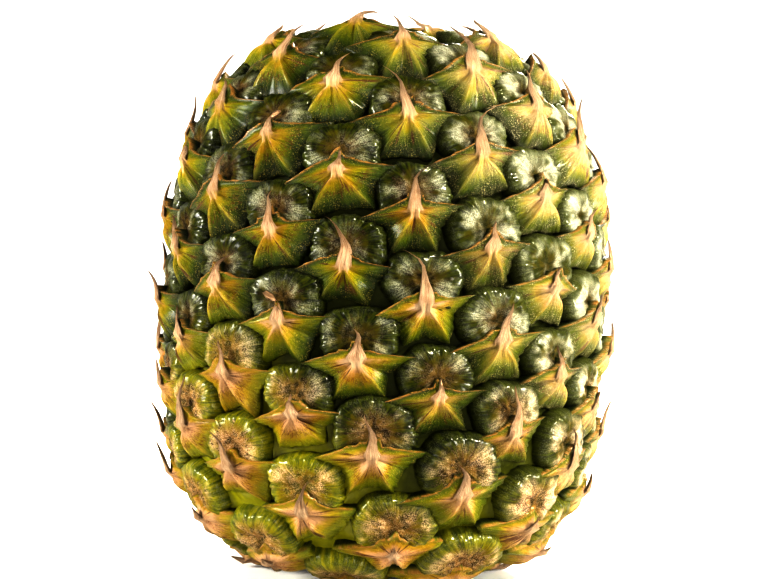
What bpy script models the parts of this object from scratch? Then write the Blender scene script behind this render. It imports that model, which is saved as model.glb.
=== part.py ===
"""A whole pineapple with its crown twisted off: the fruit, the cut stem stub and the crown scar.

Units are metres, +Z is up, and the cut face of the stem stub lies on Z = 0 under the fruit's axis.
The fruit's fruitlets follow one spiral, each about 137 degrees round from the one above it.
Their index grows downward. Steps of 8 run down to the right, steps of 13 down to the left.
"""
import math

import bmesh
import bpy
import numpy as np

MM = 0.001

# Body of the fruit, measured at the grooves between the fruitlets
SKIN_RADIUS = 56.8 * MM
SKIN_MIDDLE = 75.0 * MM
SKIN_HALF_HEIGHT = 71.5 * MM
SHOULDER_POWER = 2.7
FOOT_POWER = 3.5
DISH_RADIUS = 20.0 * MM
TOP_DISH = 4.5 * MM
FOOT_DISH = 4.0 * MM
TOP_RIM_RADIUS = 15.5 * MM
FOOT_RIM_RADIUS = 17.0 * MM

# Spiral of the fruitlets
FIRST_HEIGHT = 96.0 * MM
FIRST_ANGLE = math.radians(6.0)
DIVERGENCE = math.radians(137.2713)
STEP_8 = 8 * DIVERGENCE - 6 * math.pi
STEP_13 = 13 * DIVERGENCE - 10 * math.pi
SPIRAL_DRIFT = math.radians(2.3) / 50 ** 2
AREA_MIDDLE = 375 * MM * MM
AREA_TOP_SHARE = 0.72
AREA_FADE = (100 * MM, 146 * MM)
FRONT_WIDENING = 0.30

# One fruitlet at full size: its eye, the bract under it and the bract's spine
EYE_WIDTH = 19.4 * MM
EYE_HEIGHT = 14.6 * MM
EYE_RISE = 4.3 * MM
EYE_DIMPLE = 1.5 * MM
EYE_ABOVE_SPINE = 5.6 * MM
BRACT_RISE = 5.2 * MM
SPINE_LENGTH = 11.5 * MM
SPINE_WIDTH = 3.6 * MM
SPINE_THICK = 1.4 * MM
SPINE_STAND = 0.6
SPINE_LEAN = 0.25
FOOT_SPINE_SHARE = 0.45
FOOT_SPINE_HEIGHTS = (8 * MM, 40 * MM)
SIZE_SPREAD = 0.06

# The quads along each side of a fruitlet's cell, and how far their corners move to fit the relief
CELL_QUADS = 5
CORNER_SHIFT = 1.4 * MM
GROOVE_SHARE = 0.55

# Cut stem stub with its dry scales, and the scar of the crown
STUB_RADIUS = 12.5 * MM
SCALE_COUNT = 13
SCALE_THICK = 0.8 * MM
SCAR_RADIUS = 11.5 * MM
LEAF_BASE_COUNT = 15
GAP = 0.4 * MM
LOWEST_EYE = 0.6 * MM

# The eight grid corners round a spine, from above it and round to its left
ROUND_A_CORNER = ((-1, -1), (0, -1), (1, -1), (1, 0), (1, 1), (0, 1), (-1, 1), (-1, 0))

# The bract's outline as a star round the spine: direction in degrees and reach in millimetres
STAR = ((-172, 13.0), (-146, 8.0), (-119, 11.2), (-85, 7.6), (-50, 11.2), (-20, 8.0), (8, 13.0),
        (36, 4.0), (90, 2.2), (144, 4.0), (188, 13.0))


def meridian():
    """The groove line from the top of the fruit to its foot, with the spiral's index along it."""
    turn = np.linspace(0.0, math.pi, 4001)
    upper = turn < math.pi / 2
    power = np.where(upper, SHOULDER_POWER, FOOT_POWER)
    radius = SKIN_RADIUS * np.sin(turn).clip(0) ** (2 / power)
    rise = np.sign(np.cos(turn)) * np.abs(np.cos(turn)) ** (2 / power)
    height = SKIN_MIDDLE + SKIN_HALF_HEIGHT * rise
    dish = np.exp(-(radius / DISH_RADIUS) ** 2)
    height = height - np.where(upper, TOP_DISH, -FOOT_DISH) * dish
    step = np.hypot(np.diff(radius), np.diff(height))
    along = np.concatenate(([0.0], np.cumsum(step)))
    per_length = 2 * math.pi * radius / cell_area(height)
    index = np.concatenate(([0.0], np.cumsum((per_length[1:] + per_length[:-1]) / 2 * step)))
    past_dish = slice(height.argmax(), None)
    index = index - np.interp(-FIRST_HEIGHT, -height[past_dish], index[past_dish])
    return radius, height, along, index


def smooth_share(value, low, high):
    """0 below low, 1 above high and an even S-curve between them."""
    share = np.clip((value - low) / (high - low), 0, 1)
    return share * share * (3 - 2 * share)


def cell_area(height):
    """Area of skin that one fruitlet covers, smaller toward the crown."""
    return AREA_MIDDLE * (1 - (1 - AREA_TOP_SHARE) * smooth_share(height, *AREA_FADE))


RADIUS, HEIGHT, ALONG, INDEX = meridian()
HALF = len(RADIUS) // 2
TOP_INDEX = float(np.interp(TOP_RIM_RADIUS, RADIUS[:HALF], INDEX[:HALF]))
FOOT_INDEX = float(np.interp(-FOOT_RIM_RADIUS, -RADIUS[HALF:], INDEX[HALF:]))
TOP_FLOOR = float(np.interp(TOP_INDEX, INDEX, HEIGHT))
FOOT_FLOOR = float(np.interp(FOOT_INDEX, INDEX, HEIGHT))


def on_line(index):
    """Radius, height and length along the groove line at an index of the spiral."""
    return (np.interp(index, INDEX, RADIUS), np.interp(index, INDEX, HEIGHT),
            np.interp(index, INDEX, ALONG))


def widening(height):
    """How far the fruitlets crowd round to the back, near the crown and near the foot."""
    ends = smooth_share(height, 100 * MM, 142 * MM) + smooth_share(-height, -50 * MM, -12 * MM)
    return FRONT_WIDENING * ends


def turned(angle, index):
    """The angle after the spiral's slow drift and its crowding at the back; 0 faces -Y."""
    angle = angle + SPIRAL_DRIFT * index ** 2
    return angle + widening(on_line(index)[1]) * np.sin(angle)


def fruitlets():
    """Spiral index of every fruitlet whose spine stands on the fruit."""
    first = math.ceil(TOP_INDEX + 5)
    last = math.floor(FOOT_INDEX - 3)
    return np.arange(first, last + 1)


def even_sizes(index, angle):
    """Each fruitlet's scale, from the area that the spiral leaves for it."""
    height = on_line(index)[1]
    crowding = 1 + widening(height) * np.cos(angle)
    return np.sqrt(cell_area(height) / AREA_MIDDLE * crowding)


def eye_height(across, up):
    """A flat-topped dome with steep sides and a dimple in its middle."""
    reach = np.hypot(across / (EYE_WIDTH / 2), (up - EYE_ABOVE_SPINE) / (EYE_HEIGHT / 2))
    dome = EYE_RISE * np.sqrt((1 - reach ** 3).clip(0))
    return dome - EYE_DIMPLE * np.exp(-(reach / 0.4) ** 2)


def bract_height(across, up):
    """A cone on a star-shaped foot, highest at the spine, with a ridge along each point."""
    direction = np.degrees(np.arctan2(up, across))
    reach = np.interp(direction, [d for d, _ in STAR], [r * MM for _, r in STAR])
    return BRACT_RISE * (1 - np.hypot(across, up) / reach).clip(0) ** 0.6


def relief(angle, index, spiral, spiral_angle, scale):
    """Height over the grooves: the highest of all the eyes and bracts at each point."""
    radius, _, along = on_line(index)
    spine_along = on_line(spiral)[2]
    around = angle[:, None] - spiral_angle[None, :]
    around = (around + math.pi) % (2 * math.pi) - math.pi
    across = radius[:, None] * around / scale
    up = (spine_along[None, :] - along[:, None]) / scale
    tallest = np.maximum(eye_height(across, up), bract_height(across, up)) * scale
    return tallest.max(axis=1).clip(0)


def settled(angle, index, spiral, spiral_angle, even_scale, scale):
    """Grid corners moved a little: low ones into the groove beside them, high ones to the crest."""
    radius, _, along = on_line(index)
    shifts = [(a, b) for a in (-1, -0.5, 0, 0.5, 1) for b in (-1, -0.5, 0, 0.5, 1)]
    tries = []
    for a, b in shifts:
        try_angle = angle + a * CORNER_SHIFT / radius
        try_index = np.interp(along + b * CORNER_SHIFT, ALONG, INDEX)
        rise = relief(try_angle, try_index, spiral, spiral_angle, even_scale)
        tries.append((try_angle, try_index, rise))
    angles, indices, rises = (np.array(row) for row in zip(*tries))
    middle = rises[shifts.index((0, 0))]
    best = np.where(middle < GROOVE_SHARE * EYE_RISE, rises.argmin(axis=0), rises.argmax(axis=0))
    pick = (best, np.arange(len(angle)))
    angle, index = angles[pick], indices[pick]
    return angle, index, relief(angle, index, spiral, spiral_angle, scale)


def place(angle, index, rise):
    """Points over the groove line, raised square to it; also the outward and upward directions."""
    radius, height, along = on_line(index)
    ahead = on_line(index + 0.2)
    behind = on_line(index - 0.2)
    down_radius = (ahead[0] - behind[0]) / (ahead[2] - behind[2])
    down_height = (ahead[1] - behind[1]) / (ahead[2] - behind[2])
    length = np.hypot(down_radius, down_height)
    down_radius, down_height = down_radius / length, down_height / length
    side, front = np.sin(angle), -np.cos(angle)
    out = np.stack([-down_height * side, -down_height * front, down_radius], -1)
    up = np.stack([-down_radius * side, -down_radius * front, -down_height], -1)
    base = np.stack([radius * side, radius * front, height], -1)
    return base + out * np.asarray(rise)[..., None], out, up


def off_ground(points):
    """The same points, none of them lower than the fruit's lowest eyes."""
    points = np.array(points)
    points[..., 2] = points[..., 2].clip(LOWEST_EYE)
    return points


def spine_rings(index, angle, scale, lean):
    """Rings of four points up one papery spine, from its flared foot to its tip."""
    point, out, up = place(np.array([angle]), np.array([float(index)]), np.array([0.0]))
    point, out, up = point[0], out[0], up[0]
    side = np.cross(up, out)
    full = smooth_share(on_line(float(index))[1], *FOOT_SPINE_HEIGHTS)
    length = SPINE_LENGTH * scale * (FOOT_SPINE_SHARE + (1 - FOOT_SPINE_SHARE) * full)
    stand = SPINE_STAND * full
    stations = ((0.02, 0.85, SPINE_WIDTH, 2.0 * MM),
                (0.50, 1 + 0.6 * stand, SPINE_WIDTH * 0.55, SPINE_THICK * 0.7))
    rings = []
    for share, lift, width, thick in stations:
        middle = (point + up * length * share + out * BRACT_RISE * lift * scale
                  + side * lean * share ** 2 * length)
        across = side * width / 2 * scale
        through = (out - up * 0.8) / math.hypot(1, 0.8) * thick / 2 * scale
        rings.append([middle - through, middle + across, middle + through, middle - across])
    tip = point + up * length + out * BRACT_RISE * (1 + stand) * scale + side * lean * length
    return rings, tip


def corner_name(i, j):
    """One name for a corner of the spiral grid, however many times round it is counted."""
    turns = j // (8 * CELL_QUADS)
    return i + turns * 13 * CELL_QUADS, j - turns * 8 * CELL_QUADS


def index_of(i, j):
    """The spiral's index at a corner of the grid."""
    return (8 * i + 13 * j) / CELL_QUADS


def skin_quads():
    """The grid's quads between the two rims, each as four corner names."""
    quads = []
    for j in range(8 * CELL_QUADS):
        for i in range(-20 * CELL_QUADS, 26 * CELL_QUADS):
            square = [(i, j), (i + 1, j), (i + 1, j + 1), (i, j + 1)]
            if any(TOP_INDEX < index_of(*corner) < FOOT_INDEX for corner in square):
                quads.append([corner_name(*corner) for corner in square])
    return quads


def grow_spine(mesh, around, rings, tip):
    """Close the opening of eight corners round a spine's foot with the spine itself."""
    lower, upper = [[mesh.verts.new(point) for point in points] for points in rings]
    point = mesh.verts.new(tip)
    for side in range(4):
        after = (side + 1) % 4
        a, b, c = around[2 * side], around[2 * side + 1], around[(2 * side + 2) % 8]
        mesh.faces.new((a, b, lower[side]))
        mesh.faces.new((b, lower[after], lower[side]))
        mesh.faces.new((b, c, lower[after]))
        mesh.faces.new((lower[side], lower[after], upper[after]))
        mesh.faces.new((lower[side], upper[after], upper[side]))
        mesh.faces.new((upper[side], upper[after], point))


def fruit():
    """The whole fruit as one closed skin: eyes, bracts and spines grown together."""
    spiral = fruitlets()
    plain_angle = FIRST_ANGLE + DIVERGENCE * spiral
    plain_angle = (plain_angle + math.pi) % (2 * math.pi) - math.pi
    spiral_angle = turned(plain_angle, spiral)
    even_scale = even_sizes(spiral, plain_angle)
    random = np.random.default_rng(7)
    scale = even_scale * (1 + SIZE_SPREAD * random.uniform(-1, 1, len(spiral)))

    mesh = bmesh.new()
    quads = skin_quads()
    names = sorted({corner for square in quads for corner in square})
    grid = np.array(names, float)
    index = index_of(grid[:, 0], grid[:, 1]).clip(TOP_INDEX, FOOT_INDEX)
    angle = FIRST_ANGLE + (grid[:, 0] * STEP_8 + grid[:, 1] * STEP_13) / CELL_QUADS
    angle = (angle + math.pi) % (2 * math.pi) - math.pi
    angle = turned(angle, index)
    at_rim = (index <= TOP_INDEX) | (index >= FOOT_INDEX)
    moved, sunk, rise = settled(angle, index, spiral, spiral_angle, even_scale, scale)
    angle = np.where(at_rim, angle, moved)
    index = np.where(at_rim, index, sunk.clip(TOP_INDEX, FOOT_INDEX))
    points, _, _ = place(angle, index, np.where(at_rim, 0.0, rise))
    points = off_ground(points)
    corners = {name: mesh.verts.new(point) for name, point in zip(names, points)}

    opened = set()
    for number, n in enumerate(spiral):
        middle = corner_name(5 * n * CELL_QUADS, -3 * n * CELL_QUADS)
        i, j = middle
        around = [corners[corner_name(i + a, j + b)] for a, b in ROUND_A_CORNER]
        lean = random.uniform(-SPINE_LEAN, SPINE_LEAN)
        rings, tip = spine_rings(n, spiral_angle[number], scale[number], lean)
        grow_spine(mesh, around, [off_ground(ring) for ring in rings], off_ground(tip))
        opened.add(middle)
    for square in quads:
        if any(corner in opened for corner in square):
            continue
        a, b, c, d = [corners[corner] for corner in square]
        mesh.faces.new((a, b, c))
        mesh.faces.new((a, c, d))
    for corner in opened:
        mesh.verts.remove(corners[corner])
    rims = [edge for edge in mesh.edges if len(edge.link_faces) == 1]
    bmesh.ops.contextual_create(mesh, geom=rims)
    return mesh


def ring(mesh, count, radii, height):
    """A level ring of corners, one radius or one for each corner."""
    turns = np.arange(count) / count * 2 * math.pi
    radii = np.broadcast_to(radii, count)
    heights = np.broadcast_to(height, count)
    return [mesh.verts.new((r * math.sin(t), -r * math.cos(t), z))
            for t, r, z in zip(turns, radii, heights)]


def bridge(mesh, first, second):
    """A band of quads between two rings with as many corners."""
    for k, corner in enumerate(first):
        after = (k + 1) % len(first)
        mesh.faces.new((corner, first[after], second[after], second[k]))


def stem_stub():
    """The stem cut level, with the dry scales at its top spread under the fruit."""
    random = np.random.default_rng(3)
    count = 4 * SCALE_COUNT
    place_in_scale = np.arange(count) % 4
    reach = np.repeat(random.uniform(17, 23, SCALE_COUNT), 4) * MM
    spread = np.choose(place_in_scale, [0.0, 0.72, 1.0, 0.72])
    radii = STUB_RADIUS + 1.5 * MM + (reach - STUB_RADIUS - 1.5 * MM) * spread
    low = 0.4 * MM + 0.3 * MM * spread
    mesh = bmesh.new()
    cut = ring(mesh, count, STUB_RADIUS, 0)
    under = ring(mesh, count, STUB_RADIUS, 0.4 * MM)
    edge_low = ring(mesh, count, radii, low)
    edge_high = ring(mesh, count, radii, low + SCALE_THICK)
    collar = ring(mesh, count, STUB_RADIUS, 0.5 * MM + 1.6 * SCALE_THICK)
    top = ring(mesh, count, STUB_RADIUS - 1 * MM, FOOT_FLOOR - GAP)
    for first, second in ((cut, under), (under, edge_low), (edge_low, edge_high),
                          (edge_high, collar), (collar, top)):
        bridge(mesh, first, second)
    mesh.faces.new(cut)
    mesh.faces.new(top)
    return mesh


def crown_scar():
    """The torn round end of the crown's stem, with stumps of its lowest leaves round it."""
    random = np.random.default_rng(5)
    count = 4 * LEAF_BASE_COUNT
    place_in_leaf = np.arange(count) % 4
    tall = np.repeat(random.uniform(1.5, 3.5, LEAF_BASE_COUNT), 4) * MM
    spread = np.choose(place_in_leaf, [0.0, 0.8, 1.0, 0.8])
    floor = TOP_FLOOR + GAP
    outer = SCAR_RADIUS + 1.6 * MM * spread
    mesh = bmesh.new()
    foot = ring(mesh, count, SCAR_RADIUS, floor)
    flare = ring(mesh, count, outer, floor + 1.2 * MM)
    crest = ring(mesh, count, outer + 0.3 * MM, floor + 1.8 * MM + tall * spread)
    inner_crest = ring(mesh, count, outer - 0.9 * MM, floor + 1.7 * MM + tall * spread * 0.9)
    inside = ring(mesh, count, SCAR_RADIUS - 2.2 * MM, floor + 1.6 * MM)
    torn = ring(mesh, count, SCAR_RADIUS * 0.55, floor + random.uniform(1.8, 3.2, count) * MM)
    for first, second in ((foot, flare), (flare, crest), (crest, inner_crest),
                          (inner_crest, inside), (inside, torn)):
        bridge(mesh, first, second)
    mesh.faces.new(foot)
    middle = mesh.verts.new((0, 0, floor + 2.0 * MM))
    for k, corner in enumerate(torn):
        mesh.faces.new((corner, torn[(k + 1) % count], middle))
    return mesh


def finish(mesh, name, colour, roughness):
    """Turn a bmesh into a named object with its own material."""
    bmesh.ops.recalc_face_normals(mesh, faces=mesh.faces)
    data = bpy.data.meshes.new(name)
    mesh.to_mesh(data)
    mesh.free()
    material = bpy.data.materials.new(name)
    material.use_nodes = True
    shader = material.node_tree.nodes["Principled BSDF"]
    shader.inputs["Base Color"].default_value = (*colour, 1)
    shader.inputs["Roughness"].default_value = roughness
    shader.inputs["Metallic"].default_value = 0
    data.materials.append(material)
    thing = bpy.data.objects.new(name, data)
    bpy.context.collection.objects.link(thing)
    return thing


def main():
    for old in list(bpy.data.objects):
        bpy.data.objects.remove(old)
    finish(fruit(), "fruit", (0.20, 0.22, 0.04), 0.45)
    finish(stem_stub(), "stem_stub", (0.42, 0.28, 0.14), 0.85)
    finish(crown_scar(), "crown_scar", (0.45, 0.34, 0.16), 0.85)


main()
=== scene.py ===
# %% [markdown]
# # A pineapple with its crown twisted off
#
# A pineapple isn't one berry but about 150 of them, grown together round a stem. Each one, a
# fruitlet, shows an eye, a bract under it like a folded leaf, and the bract's papery spine.
# The script loads the fruit's plain solids as a fixed frame, and dresses them: first the skin in
# the furrows, then the eyes, the bracts, the cut stem below and the torn scar on top.

# %% Load the frame
import math
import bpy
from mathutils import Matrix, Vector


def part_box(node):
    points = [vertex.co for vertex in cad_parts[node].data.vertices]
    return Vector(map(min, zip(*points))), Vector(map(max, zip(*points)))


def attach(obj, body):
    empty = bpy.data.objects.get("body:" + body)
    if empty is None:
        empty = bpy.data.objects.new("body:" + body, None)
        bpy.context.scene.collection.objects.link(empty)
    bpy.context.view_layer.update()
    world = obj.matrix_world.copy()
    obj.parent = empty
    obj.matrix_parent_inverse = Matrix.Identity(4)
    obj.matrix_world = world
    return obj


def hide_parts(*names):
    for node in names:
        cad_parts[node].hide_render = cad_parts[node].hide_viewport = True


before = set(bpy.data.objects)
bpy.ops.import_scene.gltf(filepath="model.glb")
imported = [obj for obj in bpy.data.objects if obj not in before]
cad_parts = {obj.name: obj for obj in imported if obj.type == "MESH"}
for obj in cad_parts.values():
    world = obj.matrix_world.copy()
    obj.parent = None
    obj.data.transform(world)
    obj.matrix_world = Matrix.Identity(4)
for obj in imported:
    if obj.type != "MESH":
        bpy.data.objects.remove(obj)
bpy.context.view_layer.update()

from types import SimpleNamespace

import bpy
import numpy as np

fruit_low, fruit_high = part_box("fruit")
print("solids:", sorted(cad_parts), "box in mm:", [round(1000 * v, 1) for v in fruit_high - fruit_low])

# %% [markdown]
# ## The groove line
#
# Everything on the fruit is placed from one line: the fruit's profile from the crown down to the
# foot, measured at the bottom of the grooves. It is a superellipse, squarer at the foot than at
# the shoulder, with a shallow dish at each end. It could be traced by hand as a curve, but a formula
# stays smooth, and the solids were made from the same one. Sizes are in the fruit's millimetres.

# %% The profile from crown to foot
SOLID_HEIGHT = 152.58
MM = (fruit_high[2] - fruit_low[2]) / SOLID_HEIGHT
SKIN_RADIUS = 56.8 * MM
SKIN_MIDDLE = 75.0 * MM
SKIN_HALF_HEIGHT = 71.5 * MM
SHOULDER_POWER = 2.7
FOOT_POWER = 3.5
DISH_RADIUS = 20.0 * MM
TOP_DISH = 4.5 * MM
FOOT_DISH = 4.0 * MM
TOP_RIM_RADIUS = 15.5 * MM
FOOT_RIM_RADIUS = 17.0 * MM
AREA_MIDDLE = 375 * MM * MM
AREA_TOP_SHARE = 0.72
AREA_FADE = (100 * MM, 146 * MM)
FIRST_HEIGHT = 96.0 * MM
LINE_POINTS = 4001


def smooth_share(value, low, high):
    """0 below low, 1 above high, and 3x^2 - 2x^3 of the way x between them."""
    share = np.clip((value - low) / (high - low), 0, 1)
    return share * share * (3 - 2 * share)


def bell(value, middle, width):
    """1 at the middle and less to both sides: e to the power of -((value - middle) / width)^2."""
    return np.exp(-((value - middle) / width) ** 2)


def cell_area(height):
    """Skin area of one fruitlet: even up the body, and less toward the crown."""
    return AREA_MIDDLE * (1 - (1 - AREA_TOP_SHARE) * smooth_share(height, *AREA_FADE))


def groove_line():
    """Radius R sin(a)^(2/p), height M + H cos(a)^(2/p) less a bell-shaped dish, for a from 0 to pi.

    The fruitlet index is the skin area passed on the way down, over the area of one fruitlet.
    """
    turn = np.linspace(0.0, math.pi, LINE_POINTS)
    upper = turn < math.pi / 2
    power = np.where(upper, SHOULDER_POWER, FOOT_POWER)
    radius = SKIN_RADIUS * np.sin(turn).clip(0) ** (2 / power)
    rise = np.sign(np.cos(turn)) * np.abs(np.cos(turn)) ** (2 / power)
    dish = np.where(upper, TOP_DISH, -FOOT_DISH) * bell(radius, 0, DISH_RADIUS)
    height = SKIN_MIDDLE + SKIN_HALF_HEIGHT * rise - dish
    step = np.hypot(np.diff(radius), np.diff(height))
    along = np.concatenate(([0.0], np.cumsum(step)))
    per_length = 2 * math.pi * radius / cell_area(height)
    index = np.concatenate(([0.0], np.cumsum((per_length[1:] + per_length[:-1]) / 2 * step)))
    past_dish = slice(height.argmax(), None)
    index = index - np.interp(-FIRST_HEIGHT, -height[past_dish], index[past_dish])
    return radius, height, along, index


LINE_RADIUS, LINE_HEIGHT, LINE_ALONG, LINE_INDEX = groove_line()
HALF = len(LINE_RADIUS) // 2
TOP_INDEX = float(np.interp(TOP_RIM_RADIUS, LINE_RADIUS[:HALF], LINE_INDEX[:HALF]))
FOOT_INDEX = float(np.interp(-FOOT_RIM_RADIUS, -LINE_RADIUS[HALF:], LINE_INDEX[HALF:]))
print(f"groove line {LINE_ALONG[-1] / MM:.0f} mm long, fruitlets {TOP_INDEX:.1f} to {FOOT_INDEX:.1f}")

# %% [markdown]
# ## The spiral
#
# A pineapple sets one fruitlet after another, each about 137 degrees round from the last, which is
# the golden angle. The eye sees two sets of rows instead: every 8th fruitlet runs down to the right
# and every 13th down to the left. Set out by hand, the rows would never come out even, so one
# formula places them all. They drift slowly round on the way down, and near both ends they crowd a
# little at the back. The youngest fruitlets, in the ring beside the crown's scar, are the smallest.

# %% Where each fruitlet sits
FIRST_ANGLE = math.radians(6.0)
DIVERGENCE = math.radians(137.2713)
SPIRAL_DRIFT = math.radians(2.3) / 50 ** 2
FRONT_WIDENING = 0.30
WIDE_FROM_SHOULDER = (100 * MM, 142 * MM)
WIDE_FROM_FOOT = (-50 * MM, -12 * MM)
SIZE_SPREAD = 0.06
YOUNGEST_SPREADS = -3.0
BARE_AT_TOP = 0.5
YOUNG_AT_TOP = 5
BARE_AT_FOOT = 3


def widening(height):
    """Share by which the front is widened: 0 round the middle, 0.3 at the crown and the foot."""
    ends = smooth_share(height, *WIDE_FROM_SHOULDER) + smooth_share(-height, *WIDE_FROM_FOOT)
    return FRONT_WIDENING * ends


def turned(angle, index):
    """Angle plus drift times index squared, plus the widening times its sine; 0 faces -Y."""
    angle = angle + SPIRAL_DRIFT * index ** 2
    return angle + widening(np.interp(index, LINE_INDEX, LINE_HEIGHT)) * np.sin(angle)


grown = np.arange(math.ceil(TOP_INDEX + YOUNG_AT_TOP), math.floor(FOOT_INDEX - BARE_AT_FOOT) + 1)
youngest = np.arange(math.ceil(TOP_INDEX + BARE_AT_TOP), grown[0])
SPIRAL = np.concatenate([youngest, grown])
size_draw = np.concatenate([np.full(len(youngest), YOUNGEST_SPREADS),
                            np.random.default_rng(7).uniform(-1, 1, len(grown))])
COUNT = len(SPIRAL)
plain_angle = (FIRST_ANGLE + DIVERGENCE * SPIRAL + math.pi) % (2 * math.pi) - math.pi
ANGLE = turned(plain_angle, SPIRAL)
ALONG = np.interp(SPIRAL, LINE_INDEX, LINE_ALONG)
HEIGHT = np.interp(SPIRAL, LINE_INDEX, LINE_HEIGHT)
crowding = 1 + widening(HEIGHT) * np.cos(plain_angle)
SCALE = np.sqrt(cell_area(HEIGHT) / AREA_MIDDLE * crowding) * (1 + SIZE_SPREAD * size_draw)
print(COUNT, "fruitlets, scale", SCALE.min().round(2), "to", SCALE.max().round(2))

# %% [markdown]
# ## From a flat drawing to the fruit
#
# Each shape is drawn once in flat millimetres: across, up and rise over the groove. One function
# then lays it on the fruit at any fruitlet: across turns round the axis, up runs along the groove
# line, and rise goes square out from it. A second one leaves the drawing flat, for the spines that
# stand clear of the skin. A modifier could wrap one piece at a time round the fruit, but arrays lay
# all the fruitlets at once.

# %% Lay a drawing on the fruit
LINE_STEP = np.hypot(np.gradient(LINE_RADIUS), np.gradient(LINE_HEIGHT)).clip(1e-9)
LINE_DOWN_RADIUS = np.gradient(LINE_RADIUS) / LINE_STEP
LINE_DOWN_HEIGHT = np.gradient(LINE_HEIGHT) / LINE_STEP
LOWEST = 0.35 * MM


def on_line(along):
    """Radius and height of the groove line, and its downward direction, at a length along it."""
    return [np.interp(along, LINE_ALONG, line)
            for line in (LINE_RADIUS, LINE_HEIGHT, LINE_DOWN_RADIUS, LINE_DOWN_HEIGHT)]


def revolve(along, angle, rise):
    """Points at rise over the groove line, turned to an angle round the axis."""
    radius, height, down_radius, down_height = on_line(along)
    reach = radius - down_height * rise
    level = np.maximum(height + down_radius * rise, LOWEST)
    return np.stack([reach * np.sin(angle), -reach * np.cos(angle), level], -1)


def on_fruit(which, across, up, rise):
    """Lay a drawing at each fruitlet: up shortens the length along, across / radius adds to the angle."""
    size = SCALE[which][:, None, None] * MM
    along = ALONG[which][:, None, None] - up * size
    radius = np.maximum(on_line(along)[0], TOP_RIM_RADIUS)
    angle = ANGLE[which][:, None, None] + across * size / radius
    return revolve(along, angle, rise * size)


def straight_from(which, across, up, rise):
    """The same, but in the flat plane that touches the fruit at the fruitlet's spine."""
    size = SCALE[which][:, None, None] * MM
    radius, height, down_radius, down_height = on_line(ALONG[which][:, None, None])
    angle = ANGLE[which][:, None, None]
    reach = radius - down_radius * up * size - down_height * rise * size
    level = np.maximum(height - down_height * up * size + down_radius * rise * size, LOWEST)
    side = across * size
    return np.stack([reach * np.sin(angle) + side * np.cos(angle),
                     -reach * np.cos(angle) + side * np.sin(angle), level], -1)


spots = on_fruit(np.arange(COUNT), *np.zeros((3, COUNT, 1, 1)))[..., 2] / MM
print(f"fruitlets sit {spots.min():.0f} to {spots.max():.0f} mm above the table")

# %% [markdown]
# ## From arrays to a mesh
#
# A shape is a stack of closed rings: a first corner, rings round it and a last corner, as on a
# globe. Many copies go into one mesh. Every corner carries a few numbers, such as how far it is
# from the middle of its eye, which the finishes read to colour it.

# %% Make one piece of many closed shapes
def closed_shapes(name, rings, notes):
    """A mesh of copies x rings x corners; the first and last ring of a copy shrink to one corner."""
    copies, rows, corners = rings.shape[:3]
    body = rings[:, 1:-1].reshape(copies, -1, 3)
    ends = rings[:, [0, -1]].mean(axis=2)
    points = np.concatenate([body, ends], axis=1)
    ring = np.arange(corners)
    after = (ring + 1) % corners
    low = (np.arange(rows - 3) * corners)[:, None]
    quads = np.stack([low + ring, low + corners + ring, low + corners + after, low + after], -1)
    quads = quads.reshape(-1, 4)
    last = (rows - 3) * corners
    first_end, last_end = (rows - 2) * corners, (rows - 2) * corners + 1
    first_fan = np.stack([np.full(corners, first_end), ring, after], -1)
    last_fan = np.stack([last + after, last + ring, np.full(corners, last_end)], -1)
    shift = np.arange(copies) * points.shape[1]
    faces = []
    for part in (quads, first_fan, last_fan):
        faces += (part[None] + shift[:, None, None]).reshape(-1, part.shape[1]).tolist()
    mesh = bpy.data.meshes.new(name)
    mesh.from_pydata(points.reshape(-1, 3), [], faces)
    mesh.shade_smooth()
    for title, values in notes.items():
        values = np.broadcast_to(values, rings.shape)
        inner = values[:, 1:-1].reshape(copies, -1, 3)
        outer = values[:, [0, -1]].mean(axis=2)
        flat = np.concatenate([inner, outer], axis=1).astype(np.float32).ravel()
        mesh.attributes.new(title, "FLOAT_VECTOR", "POINT").data.foreach_set("vector", flat)
    piece = bpy.data.objects.new(name, mesh)
    bpy.context.collection.objects.link(piece)
    triangles = copies * corners * (2 * (rows - 3) + 2)
    print(f"{name}: {copies} shapes, {triangles} triangles")
    return piece


def dress(piece, finish, node, slot):
    """Give a piece its finish, and tell the frame what it rides on and replaces; the slot is not used."""
    piece.data.materials.append(finish)
    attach(piece, "root")
    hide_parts(node)


print("helpers for pieces:", closed_shapes.__name__, "and", dress.__name__)

# %% [markdown]
# ## Writing finishes as sums
#
# A finish is a small network of nodes. It could be painted on by hand instead, but nodes colour every
# copy at once and need no unwrapping. Wiring each Math node by hand hides what it does, so a
# wrapper lets plain Python sums stand for them: `1 - mask * grain` adds the nodes by itself.

# %% Shader values that behave like numbers
class Value:
    """One number of a finish that changes over the surface."""

    def __init__(self, finish, socket):
        self.finish = finish
        self.socket = socket

    def _sum(self, operation, first, second):
        """One Math node between two numbers or values."""
        node = self.finish.node("ShaderNodeMath", {"operation": operation}, {0: first, 1: second})
        return Value(self.finish, node.outputs[0])

    def __add__(self, other):
        return self._sum("ADD", self, other)

    def __radd__(self, other):
        return self._sum("ADD", other, self)

    def __sub__(self, other):
        return self._sum("SUBTRACT", self, other)

    def __rsub__(self, other):
        return self._sum("SUBTRACT", other, self)

    def __mul__(self, other):
        return self._sum("MULTIPLY", self, other)

    def __rmul__(self, other):
        return self._sum("MULTIPLY", other, self)

    def size(self):
        """The value without its sign."""
        node = self.finish.node("ShaderNodeMath", {"operation": "ABSOLUTE"}, {0: self})
        return Value(self.finish, node.outputs[0])


WAX_ROUGHNESS = 0.20


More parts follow.
